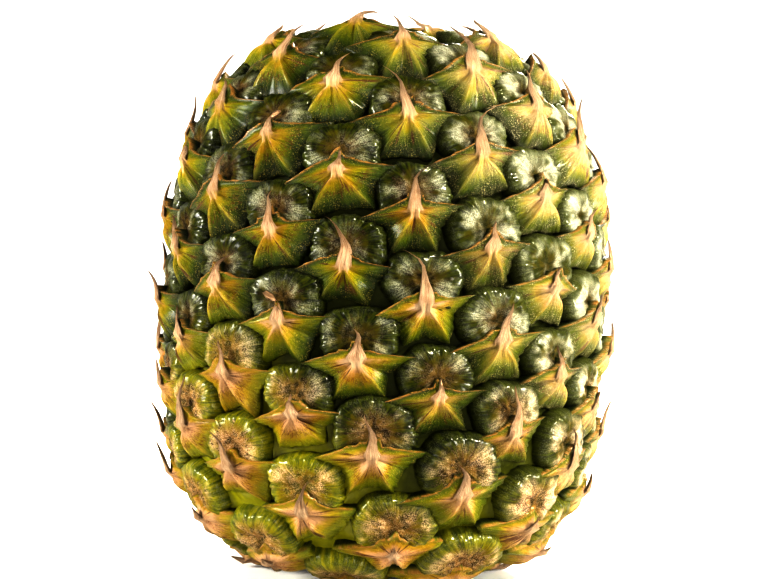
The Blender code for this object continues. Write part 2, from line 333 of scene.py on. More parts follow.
class Finish:
    """A material under construction, with its Principled shader."""

    def __init__(self, name):
        self.material = bpy.data.materials.new(name)
        self.material.use_nodes = True
        self.tree = self.material.node_tree
        self.shader = self.tree.nodes["Principled BSDF"]

    def node(self, kind, settings=None, inputs=None):
        """Add any node: settings first, then a value, a colour or a link for each socket."""
        node = self.tree.nodes.new(kind)
        for title, setting in (settings or {}).items():
            if title == "stops":
                self._set_stops(node, setting)
            else:
                setattr(node, title, setting)
        for place, value in (inputs or {}).items():
            self._feed(node.inputs[place], value)
        return node

    def _set_stops(self, node, stops):
        """Give a ramp its positions and colours."""
        elements = node.color_ramp.elements
        while len(elements) < len(stops):
            elements.new(0.5)
        for element, (position, colour) in zip(elements, stops):
            element.position = position
            element.color = (*colour, 1)

    def _feed(self, socket, value):
        """Link a value to a socket, or set the socket's own colour or number."""
        if isinstance(value, Value):
            value = value.socket
        if isinstance(value, bpy.types.NodeSocket):
            self.tree.links.new(value, socket)
        elif isinstance(value, tuple) and len(value) == 3 and socket.type == "RGBA":
            socket.default_value = (*value, 1)
        else:
            socket.default_value = value

    def noted(self, title):
        """What a mesh's corners carry under this title, as a vector."""
        return self.node("ShaderNodeAttribute", {"attribute_name": title}).outputs["Vector"]

    def place(self):
        """Object coordinates: metres of the frame, as a vector."""
        return self.node("ShaderNodeTexCoord").outputs["Object"]

    def parts(self, vector):
        """The three numbers of a vector."""
        parts = self.node("ShaderNodeSeparateXYZ", None, {0: vector}).outputs
        return [Value(self, part) for part in parts]

    def noise(self, vector, scale, detail=3.0, roughness=0.55):
        """Soft random spots from about 0.25 to 0.75."""
        node = self.node("ShaderNodeTexNoise", None,
                         {"Vector": vector, "Scale": scale, "Detail": detail, "Roughness": roughness})
        return Value(self, node.outputs[0])

    def smooth(self, value, low, high):
        """0 below low, 1 above high and an S-curve between."""
        node = self.node("ShaderNodeMapRange", {"interpolation_type": "SMOOTHSTEP"},
                         {0: value, 1: low, 2: high})
        return Value(self, node.outputs[0])

    def band(self, value, low, full, fading, high):
        """0 below low, 1 from full to fading, 0 above high, with S-curves between."""
        return self.smooth(value, low, full) * (1 - self.smooth(value, fading, high))

    def mix(self, share, first, second):
        """The first colour where share is 0, the second where it is 1."""
        node = self.node("ShaderNodeMix", {"data_type": "RGBA"}, {0: share, 6: first, 7: second})
        return node.outputs[2]

    def ramp(self, value, stops):
        """A colour read off a strip of stops."""
        return self.node("ShaderNodeValToRGB", {"stops": stops}, {0: value}).outputs[0]

    def mirroring(self, level):
        """How strongly the skin itself mirrors, the same all over."""
        self.shader.inputs["Specular IOR Level"].default_value = level

    def wax(self, weight):
        """A clear wax over the colour; its shine follows the shape and not the bump."""
        self._feed(self.shader.inputs["Coat Weight"], weight)
        self.shader.inputs["Coat Roughness"].default_value = WAX_ROUGHNESS

    def finish_with(self, colour, roughness, height, distance):
        """Feed the shader: colour, roughness and a bump whose height is in the given distance."""
        bump = self.node("ShaderNodeBump", None, {"Height": height, "Distance": distance, "Strength": 1})
        self._feed(self.shader.inputs["Base Color"], colour)
        self._feed(self.shader.inputs["Roughness"], roughness)
        self._feed(self.shader.inputs["Normal"], bump.outputs[0])
        print(f"{self.material.name}: {len(self.tree.nodes)} nodes")
        return self.material


print("helpers for finishes:", Value.__name__, "and", Finish.__name__)

# %% [markdown]
# ## Where the fruit has ripened
#
# A pineapple ripens from the foot up, and unevenly. Here the lower left has turned yellow, the
# foot is olive, and the shoulder is still dark green. The upper right side, toward the key light, is
# painted paler, with more pale bloom: that is painted light. Every finish asks the same three
# functions how ripe, how old and how lit the fruit is at a point, so that the furrows, eyes and
# bracts turn together.

# %% How ripe and old the fruit is at each point, and where light is painted on
RIPE_MIDDLE = (-0.040, -0.040, 0.024)
RIPE_TALLNESS = 0.70
RIPE_EDGE = (0.0004, 0.0019)
RIPE_FOOT = (0.008, 0.052)
RIPE_UNEVEN = (0.0014, 0.03)
RIPE_AT_FOOT = 0.65
OLD_HEIGHTS = (0.030, 0.075)
OLD_AT_FOOT = 0.6
PAINTED_LIGHT_SLOPE = (1.6, 0.45)
PAINTED_LIGHT_EDGE = (0.035, 0.125)


def ripeness(finish):
    """0 for green, 1 for yellow: a patch low on the left of the front, and a band at the foot."""
    place = finish.place()
    height = finish.parts(place)[2]
    blotches = finish.noise(place, 28.0, 2.0) - 0.5
    x, y, z = [part - middle for part, middle in zip(finish.parts(place), RIPE_MIDDLE)]
    apart = x * x + y * y + z * z * RIPE_TALLNESS
    in_patch = 1 - finish.smooth(apart + blotches * RIPE_UNEVEN[0], *RIPE_EDGE)
    at_foot = 1 - finish.smooth(height + blotches * RIPE_UNEVEN[1], *RIPE_FOOT)
    return finish.smooth(in_patch + at_foot * RIPE_AT_FOOT, 0.0, 1.0)


def age(finish, ripe):
    """1 where the fruit is ripe, and up to 0.6 near the foot where it is still green."""
    height = finish.parts(finish.place())[2]
    return ripe + (1 - ripe) * (1 - finish.smooth(height, *OLD_HEIGHTS)) * OLD_AT_FOOT


# Painted light: where this mask is high, the finishes paint the fruit paler, as if lit.
def painted_light_side(finish):
    """Painted light: 0 on the shaded side, 1 toward the key light at the upper right, along a sloping line
    between.
    """
    x, _, z = finish.parts(finish.place())
    return finish.smooth(z * PAINTED_LIGHT_SLOPE[1] + x * PAINTED_LIGHT_SLOPE[0], *PAINTED_LIGHT_EDGE)


print("ripest within", round(1000 * math.sqrt(RIPE_EDGE[0])), "mm of", RIPE_MIDDLE)

# %% [markdown]
# ## The skin in the furrows
#
# Between the eyes and bracts the skin shows only as furrows, dark green where the fruit is green
# and yellow where it is ripe. It is one closed shape turned round the axis, which bulges a little
# under every fruitlet, so that nothing sits on bare ground. At the foot the ripe fruitlets have
# swollen, and the furrows are nearly full. A sphere with a displacement would give bulges too, but
# not exactly where the fruitlets are, so they are worked out from the same spiral.

# %% The shape of the skin
SKIN_CORNERS = 300
SKIN_ROWS = 170
SKIN_PAST_RIMS = (15 * MM, 16 * MM)
BULGE = 1.0 * MM
BULGE_HALF_WIDTH = 11
BULGE_HALF_HEIGHT = 13
BULGE_ABOVE_SPINE = 1
FULL_BULGE = 2.0
FULL_HEIGHTS = (14 * MM, 52 * MM)
FURROW_DEPTH = 1.2 * MM


def fullness_at(height):
    """1 at the foot, where the furrows are full, and 0 up the body."""
    return 1 - smooth_share(height, *FULL_HEIGHTS)


def skin_bulge(along, angle):
    """Height over the groove: 1 - (across / 11)^2 - (up / 13)^2 over each eye, the highest counts."""
    radius, height = on_line(along)[:2]
    rise = np.zeros_like(along)
    for one in range(COUNT):
        around = (angle - ANGLE[one] + math.pi) % (2 * math.pi) - math.pi
        across = radius * around / (SCALE[one] * MM)
        up = (ALONG[one] - along) / (SCALE[one] * MM) - BULGE_ABOVE_SPINE
        rise = np.maximum(rise, 1 - (across / BULGE_HALF_WIDTH) ** 2 - (up / BULGE_HALF_HEIGHT) ** 2)
    full = fullness_at(height)
    return BULGE * rise * (1 + FULL_BULGE * full) - FURROW_DEPTH * (1 - full)


rows = np.linspace(np.interp(TOP_INDEX, LINE_INDEX, LINE_ALONG) - SKIN_PAST_RIMS[0],
                   np.interp(FOOT_INDEX, LINE_INDEX, LINE_ALONG) + SKIN_PAST_RIMS[1], SKIN_ROWS)
turns = np.arange(SKIN_CORNERS) / SKIN_CORNERS * 2 * math.pi
row_grid, turn_grid = np.meshgrid(rows.clip(0, LINE_ALONG[-1]), turns, indexing="ij")
skin_points = revolve(row_grid, turn_grid, skin_bulge(row_grid, turn_grid))
skin = closed_shapes("furrow_skin", skin_points[None], {})

# %% The finish of the skin
FURROW_GREENS = ((0.012, 0.014, 0.001), (0.040, 0.046, 0.002))
FURROW_YELLOWS = ((0.075, 0.084, 0.001), (0.185, 0.170, 0.002))


def furrow_finish():
    """Mottled skin, waxy where it is ripe."""
    finish = Finish("furrow skin")
    mottle = finish.noise(finish.place(), 400.0)
    ripe = ripeness(finish)
    green = finish.mix(mottle, *FURROW_GREENS)
    yellow = finish.mix(mottle, *FURROW_YELLOWS)
    finish.mirroring(0.1)
    finish.wax(ripe * 0.3)
    return finish.finish_with(finish.mix(ripe, green, yellow), 0.55, mottle, 0.0004)


dress(skin, furrow_finish(), "fruit", "rind")

# %% [markdown]
# ## The eyes
#
# An eye is what is left of one flower: a low, flat dome with a dark glossy collar, ribbed like a
# bottle cap, a powdery bloom inside the collar, and dry brown tips of petals in the middle. It is
# drawn on a polar grid: a turn round the middle and a reach from 0 there to 1 at the foot. Below
# the foot a skirt goes down into the skin, so that no gap shows. One eye modelled by hand and copied
# would look the same everywhere; a formula with a few random draws makes each its own.

# %% The shape of an eye
EYE_HALF_WIDTH = 9.9
EYE_HALF_HEIGHT = 7.6
EYE_ABOVE_SPINE = 5.6
EYE_RISE = 4.4
EYE_SQUARENESS = 2.5
EYE_RIBS = 24
CORNERS_PER_RIB = 4
EYE_CORNERS = EYE_RIBS * CORNERS_PER_RIB
EYE_REACH = np.array([0, 0.09, 0.18, 0.28, 0.38, 0.49, 0.59, 0.68, 0.76, 0.83, 0.89, 0.94, 0.98, 1.02, 0])
EYE_SKIRT_ROWS = 2
SKIRT_DEPTH = 2.4
ANY_START = 6.3


def waves(number, turn, draw):
    """Cosine waves, so many to a turn; a draw from 0 to 1 says where they begin."""
    return np.cos(number * turn + ANY_START * draw)


def eye_rings(which, random):
    """Rings of reach times a rounded square, |cos|^2.5 + |sin|^2.5 = 1, as wide and high as the eye.

    Rise: a dome E (1 - reach^5)^0.6, less a bell-shaped dimple, plus a bell-shaped lip, and waves
    round the turn: 3 for the petals, 13 and 7 for the wrinkles, and 24 for the collar's ribs.
    """
    turn = (np.arange(EYE_CORNERS) / EYE_CORNERS * 2 * math.pi)[None, None, :]
    reach = EYE_REACH[None, :, None]
    draw = random.uniform(0, 1, (9, len(which), 1, 1))
    uneven = 1 + 0.030 * waves(6, turn, draw[0]) + 0.03 * np.sin(3 * turn + ANY_START * draw[1])
    collar = smooth_share(reach, 0.60, 0.86) * (1 - smooth_share(reach, 0.99, 1.02))
    strength = random.uniform(0.2, 1.4, (len(which), 1, EYE_RIBS))
    rib = -np.cos(EYE_RIBS * turn) * np.repeat(strength, CORNERS_PER_RIB, axis=2)
    power = EYE_SQUARENESS
    square = (np.abs(np.cos(turn)) ** power + np.abs(np.sin(turn)) ** power) ** (-1 / power)
    stretch = uneven * square * (1 + 0.013 * rib * collar)
    across = EYE_HALF_WIDTH * reach * stretch * np.cos(turn)
    up = EYE_ABOVE_SPINE + EYE_HALF_HEIGHT * reach * stretch * np.sin(turn)
    dome = EYE_RISE * (0.94 + 0.12 * draw[8]) * (1 - reach.clip(0, 1) ** 5) ** 0.6
    dimple = (1.0 + 0.6 * draw[3]) * bell(reach, 0, 0.42)
    lip = 0.42 * bell(reach, 0.86, 0.06)
    petals = 0.45 * waves(3, turn, draw[4]) * bell(reach, 0.24, 0.12)
    wrinkles = 0.16 * waves(13, turn, draw[5]) * bell(reach, 0.42, 0.16)
    wrinkles = wrinkles + 0.30 * waves(7, turn, draw[7]) * bell(reach, 0.70, 0.20)
    rise = dome - dimple + lip + petals + wrinkles + 0.17 * rib * collar
    skirt = np.arange(len(EYE_REACH))[None, :, None] >= len(EYE_REACH) - EYE_SKIRT_ROWS
    points = on_fruit(which, across, up, np.where(skirt, -SKIRT_DEPTH, rise))
    notes = np.stack(np.broadcast_arrays(reach, draw[6], np.cos(turn)), -1)
    streak = np.stack(np.broadcast_arrays(np.cos(turn), np.sin(turn), 0.12 * reach + 9 * draw[6]), -1)
    return points, {"eye": notes, "streak": streak}


print(f"an eye has {len(EYE_REACH)} rings of {EYE_CORNERS} corners")

# %% [markdown]
# ## The finish of an eye
#
# The colours go on as a painter would lay them: first the ribbed skin, green or yellow, then the
# powdery bloom over it, then the dry petal ends in the middle, and last a few pale specks on the
# collar's edge.
# Each step is a function of its own. They share the same few patterns, kept together under one
# short name: noise drawn out along the ribs for the streaks, and finer noise for the grains.

# %% What the colours of an eye follow
def eye_patterns(finish):
    """Where on the eye a point is, how ripe and old it is there, how much painted light it gets, and the
    patterns.
    """
    place = finish.place()
    streak = finish.noted("streak")
    reach, tone, across = finish.parts(finish.noted("eye"))
    ripe = ripeness(finish)
    return SimpleNamespace(
        reach=reach, tone=tone, across=across,
        ripe=ripe, old=age(finish, ripe), lit=painted_light_side(finish),
        streaks=finish.noise(streak, 13.0, 4.0, 0.65), grains=finish.noise(place, 3200.0, 2.0, 0.8),
        blotches=finish.noise(place, 520.0, 3.0), patches=finish.noise(place, 170.0, 2.0))


print("patterns of an eye: streaks, grains, blotches and patches")

# %% The skin of an eye
EYE_GREENS = ((0.005, 0.007, 0.001), (0.036, 0.044, 0.001))
EYE_YELLOWS = ((0.050, 0.062, 0.001), (0.175, 0.160, 0.001))
EYE_PAINTED_LIGHT = (0.062, 0.068, 0.018)
EYE_OLIVE = (0.095, 0.055, 0.004)


def eye_skin(finish, on):
    """Ribs of two greens or two yellows, the green painted paler toward the light, with olive spots inside
    the collar.
    """
    ribbing = finish.smooth(on.streaks * 0.6 + on.blotches * 0.4, 0.38, 0.64)
    green = finish.mix(ribbing, *EYE_GREENS)
    yellow = finish.mix(ribbing, *EYE_YELLOWS)
    # Painted light: the green turns paler on the side toward the key light.
    green = finish.mix(on.lit * 0.5, green, EYE_PAINTED_LIGHT)
    colour = finish.mix(on.ripe, green, yellow)
    inside = 1 - finish.smooth(on.reach, 0.55, 0.85)
    olive = finish.smooth(on.blotches, 0.44, 0.62) * inside * (0.25 + on.old * 0.35)
    return finish.mix(olive, colour, EYE_OLIVE)


print("green", EYE_GREENS[1], "turns to", EYE_YELLOWS[1])

# %% The bloom and the petals
BLOOM = ((0.255, 0.255, 0.195), (0.430, 0.315, 0.210))
PETAL_BROWNS = ((0.036, 0.012, 0.003), (0.185, 0.098, 0.036))
PETAL_PALE = (0.410, 0.305, 0.200)
PETAL_CRACKS = (0.020, 0.007, 0.003)


def eye_bloom(finish, on, colour):
    """Powder in patches, in a ring inside the collar and most at its sides, with more painted on as sheen
    toward the light; and where it lies.
    """
    ring = finish.band(on.reach, 0.06, 0.28, 0.62, 0.94)
    at_sides = 0.30 + 0.70 * finish.smooth(on.across.size(), 0.25, 0.80)
    # The bloom is real; the extra bloom on the lit side is painted sheen.
    cover = ring * finish.smooth(on.patches + on.lit * 0.08, 0.42, 0.64) * (at_sides + on.lit * 0.2)
    powder = cover * finish.smooth(on.grains * 0.65 + on.streaks * 0.35 + cover * 0.05, 0.46, 0.64)
    share = powder * 0.66 + cover * (0.13 + on.lit * 0.42)
    return finish.mix(share, colour, finish.mix(on.old, *BLOOM)), powder


def eye_petals(finish, on, colour):
    """Brown petal ends with pale grains and dark cracks, ragged at the edge, fewer where light is painted;
    and where they lie.
    """
    middle = on.reach + (on.blotches - 0.5) * 1.1 + (on.streaks - 0.5) * 0.5 - on.old * 0.16
    # Painted light: the brown ends are halved toward the key light, so that side reads paler.
    middle = (1 - finish.smooth(middle, 0.16, 0.58)) * (1 - on.lit * 0.5)
    dry = finish.mix(finish.smooth(on.blotches, 0.40, 0.56), *PETAL_BROWNS)
    dry = finish.mix(finish.smooth(on.grains, 0.46, 0.62) * (0.40 + on.old * 0.45), dry, PETAL_PALE)
    cracks = finish.smooth(on.streaks, 0.58, 0.66) * (1 - finish.smooth(on.reach, 0.25, 0.50))
    dry = finish.mix(cracks * 0.8, dry, PETAL_CRACKS)
    return finish.mix(middle * (0.14 + 0.40 * on.tone + 0.30 * on.old), colour, dry), middle


print("bloom", BLOOM[0], "over brown", PETAL_BROWNS[1])

# %% The whole eye
COLLAR_PALE_SPECKS = (0.350, 0.350, 0.230)


def eye_finish():
    """Skin, bloom, petals and pale specks on the collar's edge; the wax is thickest on the collar and gone
    under powder.
    """
    finish = Finish("ribbed eye")
    on = eye_patterns(finish)
    colour, powder = eye_bloom(finish, on, eye_skin(finish, on))
    colour, middle = eye_petals(finish, on, colour)
    # Pale specks in grains along the collar's outer edge.
    edge = finish.band(on.reach, 0.78, 0.88, 0.93, 1.0)
    colour = finish.mix(edge * finish.smooth(on.grains, 0.50, 0.62) * 0.15, colour, COLLAR_PALE_SPECKS)
    roughness = 0.40 + 0.25 * powder + 0.25 * middle
    height = on.streaks * 0.55 + on.grains * 0.30 + on.blotches * 0.35
    finish.mirroring(0.03)
    finish.wax((1 - powder) * (1 - middle) * (0.06 + 0.25 * finish.smooth(on.reach, 0.60, 0.78)))
    return finish.finish_with(colour, roughness, height, 0.0007)


eye_material = eye_finish()

# %% Make the eyes, from the crown down
SHAPES_PER_PIECE = 56


def make_pieces(name, rings, seed, material):
    """Pieces of up to 56 shapes each, which together cover the fruit's solid."""
    random = np.random.default_rng(seed)
    for part, first in enumerate(range(0, COUNT, SHAPES_PER_PIECE)):
        which = np.arange(first, min(first + SHAPES_PER_PIECE, COUNT))
        points, notes = rings(which, random)
        dress(closed_shapes(f"{name}_{part + 1}", points, notes), material, "fruit", "rind")


make_pieces("eyes", eye_rings, 21, eye_material)

# %% [markdown]
# ## The bracts and their spines
#
# Under each eye sits a bract: a thick leaf folded into a star with five points. Two wings lie in
# the furrows on either side, two legs run down over the eyes below, and the fifth point is a dry
# spine in front of the eye. Ridges run to the points and hollows between them. The outline is a
# list of points; rings that shrink toward the middle climb to the foot of the spine, and go on up
# it to the tip, so that leaf and spine are one skin. The upper rim, behind the spine, is torn.
# Sculpting would give richer folds, one bract at a time; shaking the points of one outline gives
# all of them at once, and no two alike.

# %% The outline of a bract
BRACT_STAR = np.array([
    # angle in degrees, reach, rise at the edge, fullness of the way up from it
    (-172, 13.2, 2.8, 1.5),
    (-147, 8.4, 1.0, 0.85),
    (-120, 11.6, 0.9, 2.1),
    (-86, 8.2, 0.6, 1.0),
    (-50, 11.4, 0.9, 2.1),
    (-21, 8.4, 1.0, 0.85),
    (8, 13.2, 2.8, 1.5),
    (22, 5.6, 4.5, 1.2),
    (54, 3.7, 5.3, 1.0),
    (90, 4.9, 5.4, 1.0),
    (126, 3.7, 5.3, 1.0),
    (168, 5.6, 4.5, 1.2),
])
LEG_SPREAD = np.array([0, 0, -9, 0, 9, 0, 0, 0, 0, 0, 0, 0])
HOLLOWS = np.array([0, 1, 0, 1, 0, 1, 0, 0, 0, 0, 0, 0])
STEPS_BETWEEN = (7, 7, 6, 6, 7, 7, 4, 3, 3, 3, 3, 4)
BRACT_CORNERS = sum(STEPS_BETWEEN)
LOWER_CORNERS = sum(STEPS_BETWEEN[:6])
LEG_CORNERS = (14, 26)
TORN_CORNER = 50
BRACT_REACH = np.array([0.15, 0.23, 0.32, 0.42, 0.53, 0.64, 0.75, 0.85, 0.93, 0.98])
SPINE_FOOT = 5.7
LARGER_HEIGHTS = (85 * MM, 120 * MM)


def between_points(values):
    """Straight lines between the star's points, one value per corner; values end in the points."""
    pieces = []
    for point, steps in enumerate(STEPS_BETWEEN):
        share = np.arange(steps) / steps
        after = (point + 1) % len(STEPS_BETWEEN)
        pieces.append(values[..., [point]] * (1 - share) + values[..., [after]] * share)
    return np.concatenate(pieces, axis=-1)


print(f"a bract's outline has {len(BRACT_STAR)} points and {BRACT_CORNERS} corners")


# %% The leaf of a bract
def per_corner(random, count):
    """A draw from -1 to 1 for every corner of every outline."""
    return random.uniform(-1, 1, (count, 1, BRACT_CORNERS))


def bract_body(which, random):
    """Across, up and rise of the leaf: the outline times f, for rings from the middle out.

    Rise: edge + (foot - edge)(1 - f^fullness), with a bell-shaped crest along each leg, and ribs.
    """
    count = len(which)
    shake = random.uniform(-1, 1, (3, count, len(BRACT_STAR)))
    spread = random.uniform(-1.2, 0.6, (count, 1)) * LEG_SPREAD
    height = HEIGHT[which][:, None]
    larger = 1 + 0.12 * smooth_share(height, *LARGER_HEIGHTS)
    full = fullness_at(height)
    tilt = random.uniform(-6, 6, (count, 1))
    turn = np.radians(BRACT_STAR[:, 0] + 5 * shake[0] + spread + tilt)
    reach = (BRACT_STAR[:, 1] + 2.2 * HOLLOWS * full) * larger * (1 + 0.10 * shake[1])
    across = between_points(reach * np.cos(turn))[:, None]
    up = between_points(reach * np.sin(turn))[:, None]
    edge_rise = between_points(BRACT_STAR[:, 2] + 0.3 * shake[2])[:, None]
    fullness = between_points(BRACT_STAR[:, 3])[None, None]
    share = BRACT_REACH[None, :, None]
    corner = np.arange(BRACT_CORNERS)[None, None, :]
    every_other = np.cos(math.pi * corner)
    lower = corner < LOWER_CORNERS
    crest = sum(bell(corner, leg, 1.1) for leg in LEG_CORNERS)
    ribs = per_corner(random, count) * 0.17 + 0.14 * every_other
    edge_rise = edge_rise * (1 - 0.35 * full[:, :, None] * ~lower)
    rise = edge_rise + (SPINE_FOOT - edge_rise) * (1 - share ** fullness)
    relief = 0.50 * crest * (1.15 - share) + ribs * np.where(lower, 1.0, 0.4)
    rise = rise + smooth_share(share, 0.12, 0.40) * relief
    rim = np.where(lower, 0.0, 0.5) * smooth_share(share, 0.7, 0.95)
    ragged = 1 + 0.030 * per_corner(random, count) * smooth_share(share, 0.7, 1.0)
    ragged = ragged + 0.012 * every_other * smooth_share(share, 0.8, 1.0)
    torn = bell(corner, TORN_CORNER, 4.5) * smooth_share(share, 0.5, 1.0)
    ragged = ragged + 0.20 * per_corner(random, count) * torn
    rise = rise + rim + 0.7 * random.uniform(-0.6, 1, (count, 1, BRACT_CORNERS)) * torn
    return across * share * ragged, up * share * ragged, rise


print(f"the leaf has {len(BRACT_REACH)} rings")

# %% The spine of a bract
SPINE_ROWS = np.array([1.0, 0.93, 0.82, 0.69, 0.55, 0.41, 0.27, 0.13, 0.0])
SPINE_LENGTH = 10.6
SPINE_ABOVE = 0.65
SPINE_CLEAR = 0.35
FOOT_SPINE_SHARE = 0.32
FOOT_SPINE_HEIGHTS = (8 * MM, 40 * MM)
LEANING_HEIGHTS = (118 * MM, 142 * MM)


def spine_body(which, random):
    """Flat ovals along a line that leans, curls by s^3 and s^4, and twists by s^1.3.

    Width: w (1 - s)^0.82 over a wider foot (1 - s)^2.5. Thickness: (1 - s)^1.5. Broken spines, and
    those near the fruit's foot, are shorter; those on the shoulder lean out.
    """
    count = len(which)
    draw = random.uniform(0, 1, (3, count, 1, 1))
    swing = random.uniform(-1, 1, (6, count, 1, 1))
    grown = smooth_share(HEIGHT[which], *FOOT_SPINE_HEIGHTS)[:, None, None]
    high = smooth_share(HEIGHT[which], *LEANING_HEIGHTS)[:, None, None]
    length = SPINE_LENGTH * (FOOT_SPINE_SHARE + (1 - FOOT_SPINE_SHARE) * grown) * (0.60 + 0.62 * draw[0])
    broken = draw[1] < 0.16 + 0.40 * (1 - grown)
    length = np.where(broken, length * 0.5, length)
    stand = (math.radians(1) + math.radians(7) * swing[0]) * grown + math.radians(13) * high
    s = SPINE_ROWS[None, :, None]
    front = np.linspace(math.pi, 2 * math.pi, LOWER_CORNERS + 1)[:-1]
    rear = np.linspace(0, math.pi, BRACT_CORNERS - LOWER_CORNERS + 1)[:-1]
    section = np.concatenate([front, rear])[None, None, :]
    width = 1.10 * (1 - s) ** 2.5 + 1.08 * (1 - s) ** 0.82 * (0.75 + 0.45 * draw[2])
    width = width * (1 + 0.13 * np.sin(9 * s + 6 * draw[0])) * (0.75 + 0.25 * grown)
    thick = 0.14 + 0.62 * (1 - s) ** 1.5
    ribs = per_corner(random, count) * 0.20 * (1 - s) ** 0.5 * s.clip(0.1) ** 0.5
    side = width * np.cos(section)
    out = -thick * np.sin(section) + ribs - 0.30 * width * np.cos(section) ** 2 * s
    twist = 1.2 * swing[1] * s ** 1.3
    side, out = side * np.cos(twist) - out * np.sin(twist), side * np.sin(twist) + out * np.cos(twist)
    side = side + length * (0.24 * swing[2] * s + 0.62 * swing[3] * s ** 4) * grown
    side = side + length * 0.07 * np.sin(8 * s + 3 * swing[5]) * s * grown
    lean = length * (np.sin(stand) * s + 0.25 * swing[4] * s ** 3 * grown)
    out = SPINE_FOOT + SPINE_CLEAR + out + lean
    up = SPINE_ABOVE + length * np.cos(stand) * s
    ragged = 0.9 * np.where(s > 0.8, 1, 0) * per_corner(random, count) * broken
    return side, up + ragged, out, section


print(f"the spine has {len(SPINE_ROWS)} rings and is about {SPINE_LENGTH} mm long")


# %% Leaf and spine as one skin
def bract_rings(which, random):
    """The spine from its tip down, the leaf from its middle out, and a skirt below its edge."""
    side, up, out, section = spine_body(which, random)
    spine = straight_from(which, side, up, out)
    across, along, rise = bract_body(which, random)
    leaf = on_fruit(which, across, along, rise)
    below = np.full_like(rise[:, -1:], -SKIRT_DEPTH)
    skirt = on_fruit(which, across[:, -1:] * 0.97, along[:, -1:] * 0.97, below)
    points = np.concatenate([spine, leaf, skirt, skirt], axis=1)
    reach = np.concatenate([-SPINE_ROWS, BRACT_REACH, [1.10, 1.15]])[None, :, None]
    tone, shade = random.uniform(0, 1, (2, len(which), 1, 1))
    corner = np.arange(BRACT_CORNERS)[None, None, :]
    crest = sum(bell(corner, leg, 0.9) for leg in LEG_CORNERS)
    upper = np.where((corner > LOWER_CORNERS) & (corner < BRACT_CORNERS), 1.0, 0.0)
    notes = np.stack(np.broadcast_arrays(reach, tone, shade), -1)
    lines = np.stack(np.broadcast_arrays(crest, upper, 0.0), -1)
    fibre = np.stack(np.broadcast_arrays(np.cos(section), np.sin(section), 0.16 * reach + 9 * tone), -1)
    return points, {"bract": notes, "lines": lines, "fibre": fibre}


print(f"a bract has {len(SPINE_ROWS) + len(BRACT_REACH) + 2} rings in all")

# %% [markdown]
# ## The finish of a bract
#
# A bract is leaf at its edge and dry paper at its spine, with every shade between. A strip of
# colours, read off by the distance from the spine's foot, gives the leaf, and noise drawn out along
# the fibres shifts the reading, so that the shades run into each other in streaks. Marks go on
# last: pale crests, which are partly a painted highlight along the ridges, the torn brown rim, dark
# slits, short stitches, and grains like sugar, with painted sheen toward the light.

# %% What the colours of a bract follow
def bract_patterns(finish):
    """Where on the bract a point is, how ripe and old it is there, how much painted light it gets, and the
    patterns.
    """
    place = finish.place()
    fibre = finish.noted("fibre")
    reach, tone, shade = finish.parts(finish.noted("bract"))
    crest, upper = finish.parts(finish.noted("lines"))[:2]
    ripe = ripeness(finish)
    return SimpleNamespace(
        reach=reach, tone=tone, shade=shade, crest=crest, upper=upper,
        leafy=finish.smooth(reach, -0.05, 0.16),
        low=1 - finish.smooth(finish.parts(place)[2], 0.070, 0.110),
        ripe=ripe, old=age(finish, ripe), lit=painted_light_side(finish),
        fibres=finish.noise(fibre, 17.0, 4.0, 0.65), stains=finish.noise(fibre, 4.5, 3.0),
        fine=finish.noise(fibre, 60.0, 1.0), mottle=finish.noise(place, 300.0, 4.0, 0.6),
        patches=finish.noise(place, 70.0, 2.0), grain=finish.noise(place, 3000.0, 2.0, 0.75))


print("patterns of a bract: fibres, stains, fine, mottle, patches and grain")

# %% The leaf's colours
BRACT_STRIP = (
    (0.00, (0.460, 0.350, 0.235)),
    (0.17, (0.420, 0.280, 0.145)),
    (0.26, (0.290, 0.200, 0.034)),
    (0.37, (0.225, 0.176, 0.003)),
    (0.52, (0.135, 0.134, 0.001)),
    (0.72, (0.052, 0.068, 0.001)),
    (0.88, (0.020, 0.032, 0.001)),
    (1.00, (0.012, 0.018, 0.001)),
)
LEAF_GOLDS = ((0.085, 0.102, 0.001), (0.165, 0.160, 0.002))
LEAF_PAINTED_LIGHT = (0.125, 0.135, 0.015)
LEAF_ORANGE = (0.245, 0.120, 0.005)
LEAF_PEACH = (0.370, 0.235, 0.132)
LEAF_RUST = (0.180, 0.068, 0.022)


